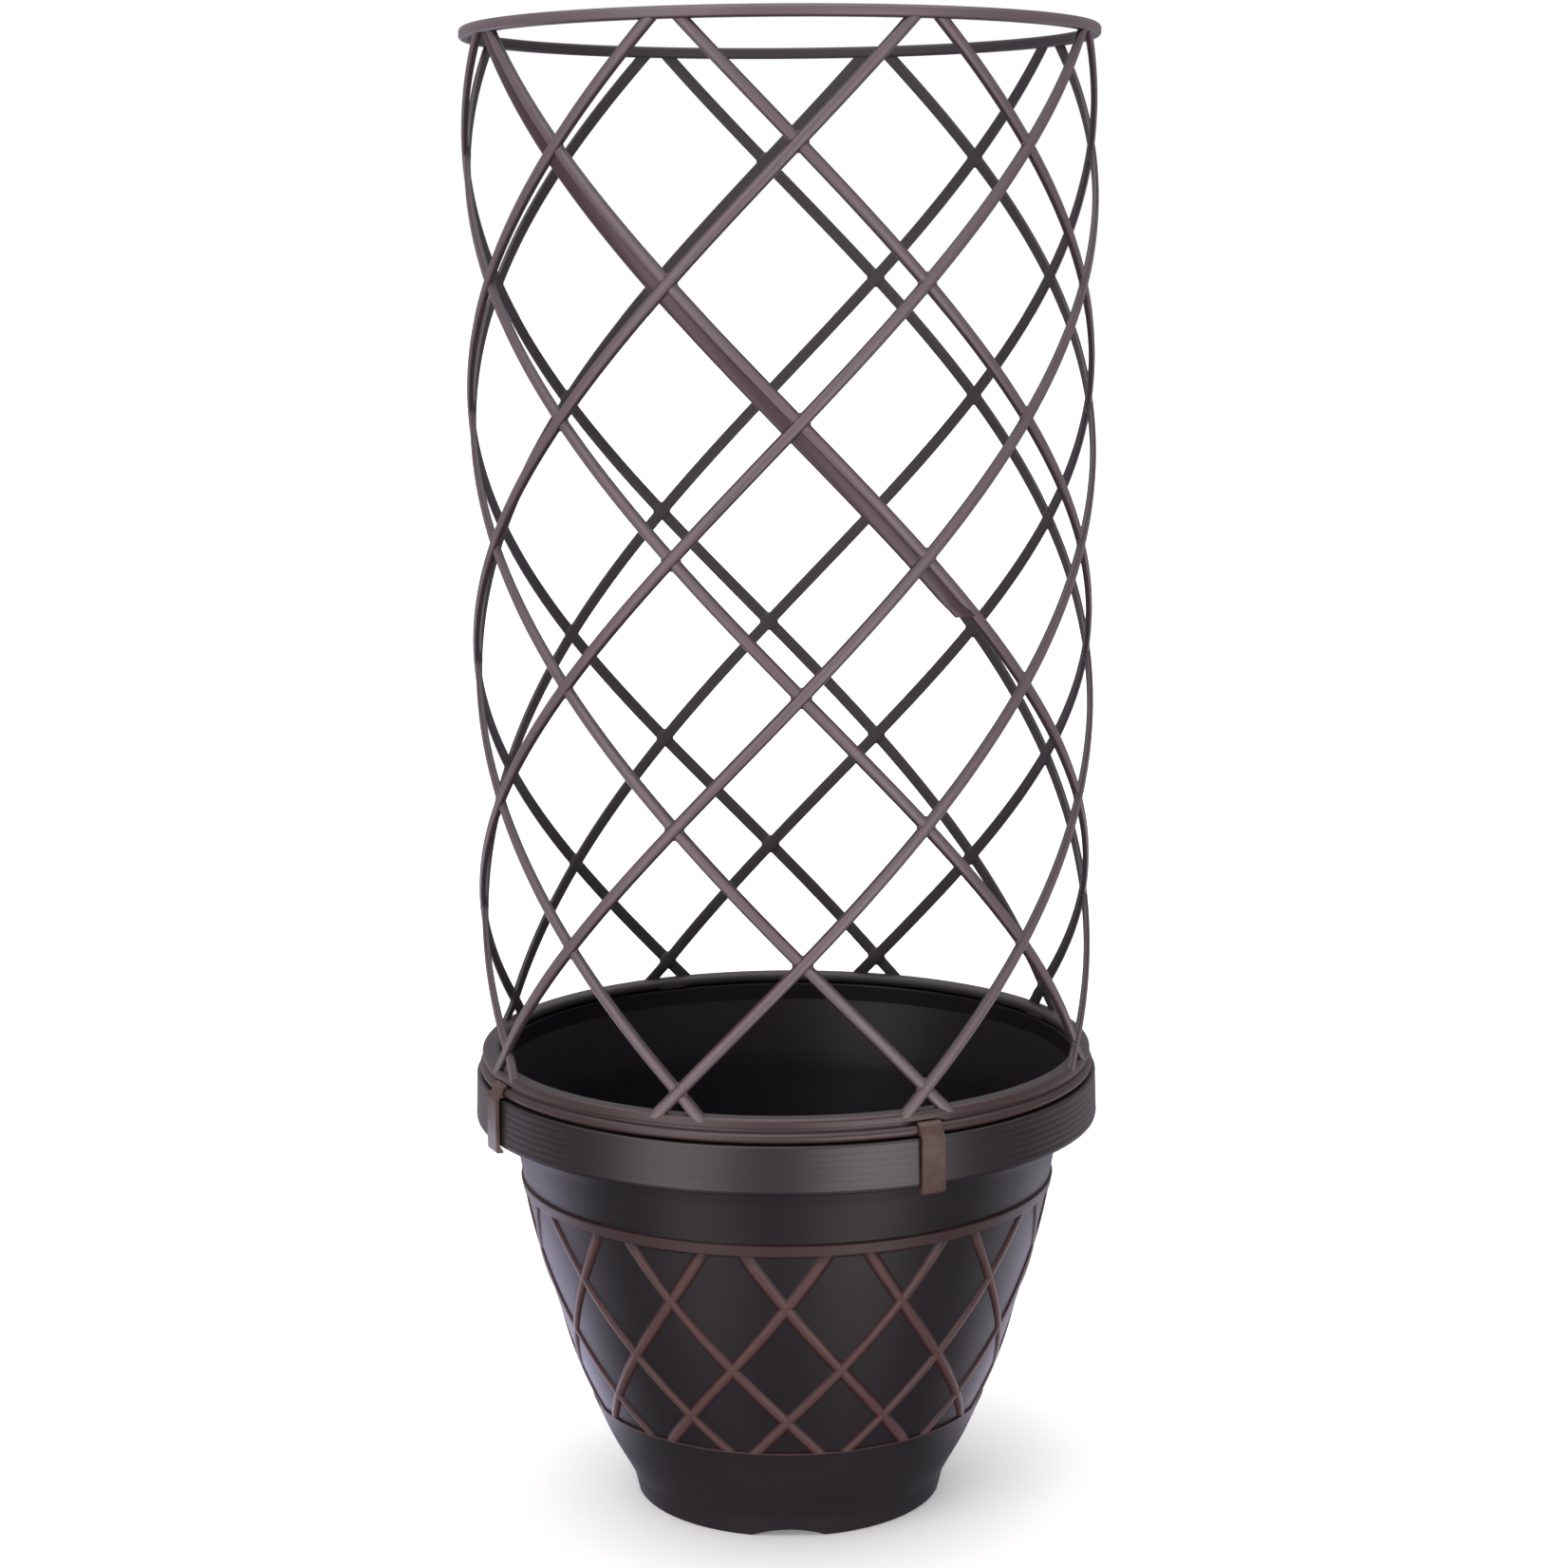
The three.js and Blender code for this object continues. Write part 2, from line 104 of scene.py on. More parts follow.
class Value:
    """A number in a node tree. Arithmetic on it adds Math nodes."""

    def __init__(self, tree, socket):
        self.tree = tree
        self.socket = socket

    def maths(self, operation, *others):
        node = add_node(self.tree, "ShaderNodeMath", {"operation": operation}, dict(enumerate([self, *others])))
        return Value(self.tree, node.outputs[0])

    def __add__(self, other):
        return self.maths("ADD", other)

    def __sub__(self, other):
        return self.maths("SUBTRACT", other)

    def __rsub__(self, other):
        return self.maths("MULTIPLY", -1.0).maths("ADD", other)

    def __mul__(self, other):
        return self.maths("MULTIPLY", other)

    def __truediv__(self, other):
        return self.maths("DIVIDE", other)

    def __rtruediv__(self, other):
        return self.maths("POWER", -1.0).maths("MULTIPLY", other)

    def __pow__(self, other):
        return self.maths("POWER", other)

    __radd__ = __add__
    __rmul__ = __mul__

    def ease(self, low, high, start=0.0, end=1.0):
        """Smoothly from start where this is low to end where it is high."""
        node = add_node(self.tree, "ShaderNodeMapRange", {"interpolation_type": "SMOOTHSTEP"},
                        {"Value": self, "From Min": low, "From Max": high, "To Min": start, "To Max": end})
        return Value(self.tree, node.outputs["Result"])


def add_node(tree, kind, settings, sockets):
    """Adds a node, gives it its settings, and then links or sets its sockets."""
    node = tree.nodes.new(kind)
    for name, setting in settings.items():
        setattr(node, name, setting)
    for name, value in sockets.items():
        if isinstance(value, Value):
            value = value.socket
        if isinstance(value, bpy.types.NodeSocket):
            tree.links.new(value, node.inputs[name])
        else:
            node.inputs[name].default_value = value
    return node


def mix_colours(tree, share, first, second):
    """The second colour over the first, by a share of 0 to 1."""
    node = add_node(tree, "ShaderNodeMix", {"data_type": "RGBA"}, {0: share, 6: first, 7: second})
    return node.outputs[2]


def noise(tree, place, size, detail=2.0, roughness=0.5):
    """Noise from 0 to 1 whose patches are about size metres across."""
    node = add_node(tree, "ShaderNodeTexNoise", {},
                    {"Vector": place, "Scale": 1 / size, "Detail": detail, "Roughness": roughness})
    return Value(tree, node.outputs[0])


def new_material(name):
    """A material with one plastic shader, its tree, and the place of the shaded point in metres."""
    material = bpy.data.materials.new(name)
    material.use_nodes = True
    tree = material.node_tree
    place = add_node(tree, "ShaderNodeTexCoord", {}, {}).outputs["Object"]
    return material, tree, place, tree.nodes["Principled BSDF"]


def parts_of(tree, vector):
    node = add_node(tree, "ShaderNodeSeparateXYZ", {}, {0: vector})
    return [Value(tree, output) for output in node.outputs]


def bump(tree, height, depth):
    """A normal for a surface whose height varies by depth metres."""
    return add_node(tree, "ShaderNodeBump", {},
                    {"Height": height, "Distance": depth, "Strength": 1.0}).outputs[0]


def finish(tree, shader, paint, roughness, normal, specular):
    """Links what varies over a surface to its shader, and sets how strongly the surface shines."""
    tree.links.new(paint, shader.inputs["Base Color"])
    tree.links.new(roughness.socket, shader.inputs["Roughness"])
    tree.links.new(normal, shader.inputs["Normal"])
    shader.inputs["Specular IOR Level"].default_value = specular


# ---------------------------------------------------------------- meshes

def new_piece(name, body, mesh, materials, nodes):
    """Puts a finished mesh on its body, in place of CAD nodes."""
    piece = bpy.data.objects.new(name, mesh)
    bpy.context.scene.collection.objects.link(piece)
    kinds = np.zeros(len(mesh.polygons), dtype=np.int32)
    mesh.polygons.foreach_get("material_index", kinds)
    mesh.materials.clear()
    for material in materials:
        mesh.materials.append(material)
    mesh.polygons.foreach_set("material_index", np.minimum(kinds, len(materials) - 1))
    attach(piece, body)
    if nodes:
        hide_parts(*nodes)
    return piece


def rounded(corners, steps=5, support=0.00035):
    """A closed side view whose corners (radius, height, round) are arcs, with a point just past each arc."""
    points = []
    count = len(corners)
    for i, (x, y, size) in enumerate(corners):
        here = np.array((x, y))
        before = np.array(corners[i - 1][:2]) - here
        after = np.array(corners[(i + 1) % count][:2]) - here
        if size == 0:
            points.append(here)
            continue
        lengths = (np.linalg.norm(before), np.linalg.norm(after))
        before = before / lengths[0]
        after = after / lengths[1]
        half = math.acos(np.clip(before @ after, -1, 1)) / 2
        reach = min(size / math.tan(half), 0.49 * min(lengths))
        size = reach * math.tan(half)
        middle = before + after
        centre = here + middle / np.linalg.norm(middle) * size / math.sin(half)
        start = here + before * reach - centre
        end = here + after * reach - centre
        sweep = math.pi - 2 * half
        if lengths[0] > 2 * (reach + support):
            points.append(here + before * (reach + support))
        for step in range(steps + 1):
            share = step / steps
            turned = (start * math.sin((1 - share) * sweep) + end * math.sin(share * sweep)) / math.sin(sweep)
            points.append(centre + turned)
        if lengths[1] > 2 * (reach + support):
            points.append(here + after * (reach + support))
    return np.array(points)


def turned_mesh(name, profile, columns, closed, shape=None, section=None):
    """Turns a side view about the Z axis. It runs anticlockwise, with outwards on its right. An open one
    starts and ends on the axis. shape may move the points, and section gives each ring's material."""
    angles = np.arange(columns) * 2 * math.pi / columns
    radii, heights = np.array(profile).T
    rings = len(radii)
    radius, angle = np.meshgrid(radii, angles, indexing="ij")
    height = np.repeat(heights[:, None], columns, 1)
    if shape is not None:
        radius, height = shape(radius, angle, height)
    points = np.stack([radius * np.sin(angle), -radius * np.cos(angle), height], -1).reshape(-1, 3)
    column = np.arange(columns)
    following = (column + 1) % columns
    faces = []
    kinds = []
    for ring in range(rings if closed else rings - 1):
        above = (ring + 1) % rings
        quads = np.stack([ring * columns + column, ring * columns + following,
                          above * columns + following, above * columns + column], 1)
        faces.extend(quads.tolist())
        kinds.extend([section(ring) if section else 0] * columns)
    mesh = bpy.data.meshes.new(name)
    mesh.from_pydata(points.tolist(), [], faces)
    mesh.polygons.foreach_set("material_index", kinds)
    return mesh


def tidied(mesh, merge=1e-6):
    """Merges doubled points, drops faces without area, shades smooth and turns faces outwards."""
    work = bmesh.new()
    work.from_mesh(mesh)
    bmesh.ops.remove_doubles(work, verts=work.verts, dist=merge)
    bmesh.ops.dissolve_degenerate(work, edges=work.edges, dist=merge)
    bmesh.ops.recalc_face_normals(work, faces=work.faces)
    for face in work.faces:
        face.smooth = True
    work.to_mesh(mesh)
    work.free()
    return mesh


def evaluated_mesh(mesh, add_modifiers):
    """A plain mesh of what modifiers make of a mesh."""
    carrier = bpy.data.objects.new("carrier", mesh)
    bpy.context.scene.collection.objects.link(carrier)
    add_modifiers(carrier)
    bpy.context.view_layer.update()
    depsgraph = bpy.context.evaluated_depsgraph_get()
    result = bpy.data.meshes.new_from_object(carrier.evaluated_get(depsgraph))
    bpy.data.objects.remove(carrier)
    return result


def prism(name, first, last):
    """A closed solid between two flat rings of as many points."""
    count = len(first)
    walls = [(j, (j + 1) % count, count + (j + 1) % count, count + j) for j in range(count)]
    mesh = bpy.data.meshes.new(name)
    mesh.from_pydata([*first, *last], [], [*walls, tuple(range(count))[::-1], tuple(range(count, 2 * count))])
    return mesh


def joined(name, meshes):
    """One mesh of several."""
    work = bmesh.new()
    for mesh in meshes:
        work.from_mesh(mesh)
    result = bpy.data.meshes.new(name)
    work.to_mesh(result)
    work.free()
    return result


# ---------------------------------------------------------------- wound strips

STRIP_INPUTS = (
    ("Strips", "NodeSocketInt", 8), ("Hand", "NodeSocketFloat", 1.0), ("Turn", "NodeSocketFloat", 0.0),
    ("Wind", "NodeSocketFloat", 6.0), ("Wind Growth", "NodeSocketFloat", 0.0),
    ("Start Height", "NodeSocketFloat", 0.7),
    ("Low Radius", "NodeSocketFloat", 0.1), ("Middle Radius", "NodeSocketFloat", 0.1),
    ("High Radius", "NodeSocketFloat", 0.1), ("Low Height", "NodeSocketFloat", 0.0),
    ("Middle Height", "NodeSocketFloat", 0.1), ("High Height", "NodeSocketFloat", 0.2),
    ("From", "NodeSocketFloat", 0.0), ("To", "NodeSocketFloat", 1.0),
    ("Width", "NodeSocketFloat", 0.006), ("Outer Height", "NodeSocketFloat", 0.0015),
    ("Inner Depth", "NodeSocketFloat", 0.0007), ("Offset", "NodeSocketFloat", 0.0007),
    ("Edge Power", "NodeSocketFloat", 0.6), ("Dome Power", "NodeSocketFloat", 0.8),
    ("Base Power", "NodeSocketFloat", 0.4), ("Foot Lap", "NodeSocketFloat", 0.0),
    ("Foot Height", "NodeSocketFloat", 0.0), ("Round Points", "NodeSocketInt", 24),
    ("Steps", "NodeSocketInt", 96), ("Material", "NodeSocketMaterial", None),
)
FOOT_BEND = 0.009  # height over which a strip bends out to its lapped foot


def group_inputs(tree, inputs):
    """Gives a tree its named inputs and its one output, and returns what reads an input by name."""
    for name, kind, default in inputs:
        socket = tree.interface.new_socket(name=name, in_out="INPUT", socket_type=kind)
        if default is not None:
            socket.default_value = default
    tree.interface.new_socket(name="Geometry", in_out="OUTPUT", socket_type="NodeSocketGeometry")
    given = add_node(tree, "NodeGroupInput", {}, {}).outputs
    return lambda name: Value(tree, given[name])


def index_of(tree):
    return Value(tree, add_node(tree, "GeometryNodeInputIndex", {}, {}).outputs[0])


def on_round(tree, radius, turn, height):
    """The place at a radius and a turn from the front, at a height."""
    node = add_node(tree, "ShaderNodeCombineXYZ", {},
                    {0: radius * turn.maths("SINE"), 1: radius * turn.maths("COSINE") * -1.0, 2: height})
    return node.outputs[0]


def end_with_copies(tree, points, piece, placing, material):
    """Ends a tree with copies of a piece on points, as one plain smooth mesh in its material."""
    copies = add_node(tree, "GeometryNodeInstanceOnPoints", {}, {"Points": points, "Instance": piece, **placing})
    plain = add_node(tree, "GeometryNodeRealizeInstances", {}, {"Geometry": copies.outputs[0]})
    smooth = add_node(tree, "GeometryNodeSetShadeSmooth", {}, {"Geometry": plain.outputs[0]})
    painted = add_node(tree, "GeometryNodeSetMaterial", {}, {"Geometry": smooth.outputs[0], "Material": material})
    add_node(tree, "NodeGroupOutput", {}, {0: painted.outputs[0]})


def wound_strip_tree():
    """Closed strips that follow a curve from a low to a high ring as they wind about the Z axis, copied round
    the axis. Each is a unit cylinder whose round gives the section and whose length gives the way up."""
    tree = bpy.data.node_groups.new("wound_strips", "GeometryNodeTree")
    value = group_inputs(tree, STRIP_INPUTS)
    blank = add_node(tree, "GeometryNodeMeshCylinder", {"fill_type": "NGON"},
                     {"Vertices": value("Round Points"), "Side Segments": value("Steps"), "Radius": 1.0,
                      "Depth": 1.0})
    place = add_node(tree, "GeometryNodeInputPosition", {}, {}).outputs[0]
    x, y, z = parts_of(tree, place)
    share = value("From") + (z + 0.5) * (value("To") - value("From"))
    rest = 1.0 - share

    def along(end):
        return (value("Low " + end) * rest * rest + value("Middle " + end) * share * rest * 2.0
                + value("High " + end) * share * share)

    height = along("Height")
    across = x.maths("SIGN") * x.maths("ABSOLUTE") ** value("Edge Power") * value("Width") * -0.5
    outer = y.maths("MAXIMUM", 0.0) ** value("Dome Power") * value("Outer Height")
    inner = (y * -1.0).maths("MAXIMUM", 0.0) ** value("Base Power") * value("Inner Depth")
    ring = along("Radius")
    lap = (height - value("Foot Height")).ease(0.0, FOOT_BEND, 1.0, 0.0) * value("Foot Lap")
    radius = ring + value("Offset") + lap + outer - inner
    down = value("Start Height") - height
    wind = value("Hand") * (value("Wind") + value("Wind Growth") * down) * down
    angle = value("Turn") + wind + across / ring
    strip = add_node(tree, "GeometryNodeSetPosition", {},
                     {"Geometry": blank.outputs["Mesh"], "Position": on_round(tree, radius, angle, height)})
    points = add_node(tree, "GeometryNodePoints", {}, {"Count": value("Strips")})
    turn = add_node(tree, "ShaderNodeCombineXYZ", {}, {2: index_of(tree) * (2 * math.pi) / value("Strips")})
    end_with_copies(tree, points.outputs[0], strip.outputs[0], {"Rotation": turn.outputs[0]}, value("Material"))
    return tree


def wound_strips(curve, **sizes):
    """A plain mesh of the strips, from the inputs of the tree by name."""
    tree = bpy.data.node_groups.get("wound_strips") or wound_strip_tree()
    for place, (radius, height) in zip(("Low", "Middle", "High"), curve):
        sizes[place + "_Radius"] = radius
        sizes[place + "_Height"] = height
    return made_by_tree(tree, **sizes)


WEB_INPUTS = (
    ("Columns", "NodeSocketInt", 8), ("Rows", "NodeSocketInt", 8), ("First Turn", "NodeSocketFloat", 0.0),
    ("First Height", "NodeSocketFloat", 0.7), ("Row Height", "NodeSocketFloat", 0.06),
    ("Low Radius", "NodeSocketFloat", 0.1), ("High Radius", "NodeSocketFloat", 0.1),
    ("Low Height", "NodeSocketFloat", 0.1), ("High Height", "NodeSocketFloat", 0.7),
    ("Reach", "NodeSocketFloat", 0.005), ("Thickness", "NodeSocketFloat", 0.002),
    ("Material", "NodeSocketMaterial", None),
)


def crossing_web_tree():
    """A small round web in the corners of each crossing of the trellis, where its strands are fused."""
    tree = bpy.data.node_groups.new("crossing_webs", "GeometryNodeTree")
    value = group_inputs(tree, WEB_INPUTS)
    points = add_node(tree, "GeometryNodePoints", {}, {"Count": value("Columns") * value("Rows")})
    index = index_of(tree)
    row = (index / value("Columns")).maths("FLOOR")
    column = index - row * value("Columns")
    turn = value("First Turn") + (column + row * 0.5) * (2 * math.pi) / value("Columns")
    height = value("First Height") - row * value("Row Height")
    share = (height - value("Low Height")) / (value("High Height") - value("Low Height"))
    down = 1.0 - share
    radius = value("High Radius") - (value("High Radius") - value("Low Radius")) * down * down
    spread = add_node(tree, "GeometryNodeSetPosition", {},
                      {"Geometry": points.outputs[0], "Position": on_round(tree, radius, turn, height)})
    web = add_node(tree, "GeometryNodeMeshUVSphere", {}, {"Segments": 20, "Rings": 8, "Radius": 1.0})
    face = add_node(tree, "ShaderNodeCombineXYZ", {}, {2: turn})
    size = add_node(tree, "ShaderNodeCombineXYZ", {},
                    {0: value("Reach"), 1: value("Thickness") * 0.5, 2: value("Reach")})
    end_with_copies(tree, spread.outputs[0], web.outputs["Mesh"],
                    {"Rotation": face.outputs[0], "Scale": size.outputs[0]}, value("Material"))
    return tree


def made_by_tree(tree, **sizes):
    """A plain mesh of what a tree makes, from its inputs by name."""
    def add_modifiers(carrier):
        modifier = carrier.modifiers.new("made", "NODES")
        modifier.node_group = tree
        for item in tree.interface.items_tree:
            name = item.name.replace(" ", "_")
            if item.in_out == "INPUT" and name in sizes:
                modifier[item.identifier] = sizes[name]

    return evaluated_mesh(bpy.data.meshes.new("blank"), add_modifiers)


# ---------------------------------------------------------------- finishes

def bronze_resin(settings):
    """Dark bronze resin, with copper rubbed over whatever stands out from the pot's side."""
    material, tree, place, shader = new_material("pot_bronze")
    x, y, z = parts_of(tree, place)
    # The side's radius at the shaded point's height, as side_radius has it, and how far the point stands out.
    (r0, z0), (r1, z1), (r2, z2) = SIDE
    bend = z0 - 2 * z1 + z2
    lead = 2 * (z1 - z0)
    share = ((lead * lead + 4 * bend * (z - z0)) ** 0.5 - lead) / (2 * bend)
    rest = 1.0 - share
    side = r0 * rest * rest + 2 * r1 * share * rest + r2 * share * share
    relief = (x * x + y * y) ** 0.5 - side

    wear = noise(tree, place, 0.014, 3.0)
    patches = noise(tree, place, 0.06)
    grain = noise(tree, place, 0.0011, 1.0)
    on_side = z.ease(0.012, 0.014) * z.ease(0.188, 0.186)  # between the foot and the neck
    raised = (relief + (wear - 0.5) * 0.0005) * on_side
    ground = mix_colours(tree, patches.ease(0.3, 0.7), tuple(settings.resin_colour),
                         tuple(settings.resin_shade))
    stained = mix_colours(tree, raised.ease(0.0001, 0.0005), ground, tuple(settings.copper_shade))
    rubbed = mix_colours(tree, raised.ease(0.0004, 0.0011), stained, tuple(settings.copper_colour))
    above_foot = z.ease(0.0505, 0.0515)
    band_thinned = z.ease(0.156, 0.161, 1.0, 0.5)
    outside = mix_colours(tree, above_foot * band_thinned, ground, rubbed)
    # Painted shade: the pot's inside is painted darker than the resin, as its hollow is in shade.
    inside = relief.ease(-0.002, -0.0025) * z.ease(0.225, 0.218)
    whole = mix_colours(tree, inside, outside, tuple(settings.inside_painted_shade))
    foot_dulled = z.ease(0.06, 0.02, 0.0, 0.3)
    finish(tree, shader, whole, patches * 0.08 + grain * 0.06 + 0.34 + foot_dulled,
           bump(tree, grain, 0.00003), 0.25)
    return material


def brushed_rim(settings):
    """The rim's face: the same resin with a brown bloom, in fine level lines."""
    material, tree, place, shader = new_material("brushed_rim")
    x, y, z = parts_of(tree, place)
    lines = add_node(tree, "ShaderNodeCombineXYZ", {}, {0: x * 0.02, 1: y * 0.02, 2: z})
    scratches = noise(tree, lines.outputs[0], 0.0006, 2.0, 0.6)
    patches = noise(tree, place, 0.05)
    face = mix_colours(tree, scratches.ease(0.3, 0.7), tuple(settings.rim_colour), tuple(settings.rim_shade))
    finish(tree, shader, face, scratches * 0.1 + patches * 0.04 + 0.3, bump(tree, scratches, 0.00002), 0.6)
    return material


def trellis_resin(name, settings, face_colour_and_crest_highlight):
    """Brown resin, satin and pale on the faces that look outwards, and grey and dull inside the trellis. The pale
    crest is a painted highlight, except on the base hoop, whose face has that colour.
    """
    material, tree, place, shader = new_material(name)
    x, y, z = parts_of(tree, place)
    facing = add_node(tree, "ShaderNodeTexCoord", {}, {}).outputs["Normal"]
    nx, ny, _ = parts_of(tree, facing)
    outwards = (x * nx + y * ny) / (x * x + y * y) ** 0.5
    wear = noise(tree, place, 0.02, 3.0)
    patches = noise(tree, place, 0.09)
    grain = noise(tree, place, 0.0009, 1.0)
    rubbed = (outwards + (wear - 0.5) * 0.3).ease(-0.15, 0.35)
    # Painted highlight: the faces that look most outwards take the crest colour, paler than the flanks; on the base
    # hoop it is the face's own colour.
    crest = (outwards + (wear - 0.5) * 0.2).ease(0.55, 1.0)
    body = mix_colours(tree, rubbed, tuple(settings.inner_colour), tuple(settings.edge_colour))
    whole = mix_colours(tree, crest, body, tuple(face_colour_and_crest_highlight))
    finish(tree, shader, whole, patches * 0.08 + grain * 0.04 + 0.56 - rubbed * 0.24,
           bump(tree, grain, 0.000006), 0.45)
    return material


def clip_resin(settings):
    """Copper-brown resin with a fine moulded grain."""
    material, tree, place, shader = new_material("clip_copper")
    wear = noise(tree, place, 0.008, 3.0)
    grain = noise(tree, place, 0.0008, 1.0)
    strap = mix_colours(tree, wear.ease(0.3, 0.7), tuple(settings.clip_colour), tuple(settings.clip_shade))
    finish(tree, shader, strap, wear * 0.1 + grain * 0.06 + 0.36, bump(tree, grain, 0.00002), 0.45)
    return material


# ---------------------------------------------------------------- settings

def length(name, description, default, low=0.0001, high=2.0):
    return bpy.props.FloatProperty(name=name, description=description, default=default, min=low, max=high,
                                   subtype="DISTANCE", unit="LENGTH", precision=5)


def number(name, description, default, low, high):
    return bpy.props.IntProperty(name=name, description=description, default=default, min=low, max=high)


def colour(name, description, default):
    return bpy.props.FloatVectorProperty(name=name, description=description, default=default, size=4,
                                         min=0.0, max=1.0, subtype="COLOR")


def strength(name, description, default):
    return bpy.props.FloatProperty(name=name, description=description, default=default, min=0.0, max=20.0)


class PLANTER_PG_pot(bpy.types.PropertyGroup):
    """Sizes and colours of the pot."""

    rim_radius: length("Rim radius", "Outside radius of the rim at its lower edge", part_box("pot")[1].x)
    rib_columns: number("Rib columns", "Ribs of the raised lattice in each direction", 14, 6, 30)
    rib_width: length("Rib width", "Width of a rib of the raised lattice at its foot, along a level line", 0.0082)
    rib_height: length("Rib height", "How far the raised lattice stands out from the side", 0.0012)
    ridge_count: number("Ridges", "Fine level ridges on the face of the rim", 6, 1, 30)
    ridge_depth: length("Ridge depth", "Depth of the fine ridges", 0.00006, 0.0)
    resin_colour: colour("Resin", "Colour of the pot's resin", linear(30, 26, 30))
    resin_shade: colour("Resin shade", "Second colour of the resin's soft patches", linear(26, 23, 27))
    # The inside colour is painted shade in the pot's hollow.
    inside_painted_shade: colour("Inside", "Colour of the pot's inside", linear(22, 20, 24))
    copper_colour: colour("Copper", "Colour rubbed over the raised lattice", linear(84, 63, 61))
    copper_shade: colour("Copper shade", "Deeper colour at the foot of the ribs", linear(62, 32, 31))
    rim_colour: colour("Rim", "Colour of the face of the rim", linear(38, 30, 32))
    rim_shade: colour("Rim shade", "Colour of the dark lines on the rim", linear(29, 23, 25))


class PLANTER_PG_trellis(bpy.types.PropertyGroup):
    """Sizes and colours of the trellis."""

    strand_width: length("Strand width", "Width of a strand, measured along a hoop", 0.0083)
    strand_dome: length("Strand dome", "Height of a strand's rounded outer face", 0.0023)
    strand_edge: length("Strand edge", "Depth of a strand behind its edges", 0.0009)
    web_reach: length("Web reach", "Radius of the web that fuses two strands where they cross", 0.0050)
    # The strands' crest colour is a painted highlight.
    strand_crest_highlight: colour("Strand crest", "Colour of the strands' crests", linear(104, 92, 95))
    hoop_colour: colour("Base hoop", "Colour of the base hoop's face", linear(66, 52, 52))
    # The seam strand's crest colour is a painted highlight, kept dim as painted shade on the overlapped strand.
    seam_crest_highlight: colour("Seam strand", "Colour of the seam's second strand", linear(71, 54, 59))
    edge_colour: colour("Strand flank", "Colour of the strands' flanks", linear(56, 42, 46))
    inner_colour: colour("Inner face", "Colour of the faces that look inwards", linear(50, 46, 49))


class PLANTER_PG_clips(bpy.types.PropertyGroup):
    """Sizes and colours of the clips."""

    clip_width: length("Clip width", "Width of a clip's strap", 0.012)
    edge_round: length("Edge round", "Rounding of a clip's edges", 0.0007)
    clip_colour: colour("Clip", "Colour of the clips", linear(84, 64, 57))
    clip_shade: colour("Clip shade", "Second colour of the clips", linear(70, 51, 45))


class PLANTER_PG_stage(bpy.types.PropertyGroup):
    """Camera, floor and lights."""

    camera_distance: length("Camera distance", "Level distance from the camera to the planter's axis", 1.5559,
                            0.2, 20.0)
    camera_height: length("Camera height", "Height of the camera above the floor", 0.6281, 0.0, 5.0)
    camera_pitch: bpy.props.FloatProperty(name="Camera pitch", description="How far the camera looks down",
                                          default=math.radians(8.486), subtype="ANGLE", unit="ROTATION")
    camera_roll: bpy.props.FloatProperty(name="Camera roll", description="Turn of the camera about its view",
                                         default=math.radians(-0.359), subtype="ANGLE", unit="ROTATION")
    lens: bpy.props.FloatProperty(name="Lens", description="Focal length on a 36 mm sensor, in millimetres",
                                  default=72.18, min=10.0, max=400.0)
    floor_colour: colour("Floor", "Colour of the floor", (0.95, 0.95, 0.955, 1.0))
    left_light: strength("Left light", "Strength of the tall soft panel in front and to the left", 2.2)
    right_light: strength("Right light", "Strength of the low soft panel in front and to the right", 3.4)
    back_light: strength("Back light", "Strength of the pale cloth behind the planter", 2.8)
    top_light: strength("Top light", "Strength of the even light from above", 3.2)
    room_light: strength("Room light", "Strength of the light from all sides", 0.12)


# ---------------------------------------------------------------- pot

LATTICE_TOP = 0.164
LATTICE_BOTTOM = 0.050
UPPER_BAND = (0.1605, 0.1680, 0.0014)  # low edge, high edge, and how far it stands out
LOW_STEP = (0.0520, 0.0012)  # the plain zone under the lattice: its upper edge, and how far it stands out
BAND_EDGES = ((0.0505, 0.0528), (0.1600, 0.1685))  # heights where the side's points are closer, to draw these
RIB_FIRST_ROW = 0.1334  # height of the first whole row of crossings
RIB_ROWS_PER_METRE = 25.86  # at the first row
RIB_ROWS_GROWTH = 85.89  # the rows come closer together further down
POT_COLUMNS = 312  # faces round the pot
WALL = 0.003
FLOOR_UNDERSIDE = 0.010
FLOOR_TOP = 0.013
DRAINS = 4
DRAIN_CIRCLE = 0.045
DRAIN_RADIUS = 0.005
FOOT_INSIDE = 0.074
FOOT_OUTSIDE = 0.078
FOOT_NOTCHES = 4
NOTCH_HALF_WIDTH = 0.018
NOTCH_HEIGHT = 0.0034
NOTCH_REACH = 0.0095  # height up to which a notch lifts the foot's points
SHOULDER = 0.2214
RIM_WALL = 0.0026
UNDER_SHOULDER = SHOULDER - RIM_WALL
RIM_BOTTOM = 0.198
RIM_DRAFT = 0.0006  # the rim's face leans in by this much at its shoulder
RIM_LEAN = (0.1998, 0.2198)  # heights between which it leans in
RIM_FACE = (0.2006, 0.2194)  # lowest and highest point of the ridges
RIDGE_STEPS = 8
LIP_INSET = 0.012  # from the rim's face in to the lip's inside
LIP_WIDTH = 0.0041
LIP_TOP = 0.228


def band_relief(height):
    """How far the upper band and the plain zone under the lattice stand out at a height."""
    low, high, size = UPPER_BAND
    band = size * smooth_step(low, low + size, height) * (1 - smooth_step(high - size, high, height))
    edge, step = LOW_STEP
    return band + step * smooth_step(0.012, 0.034, height) * (1 - smooth_step(edge - step / 2, edge, height))


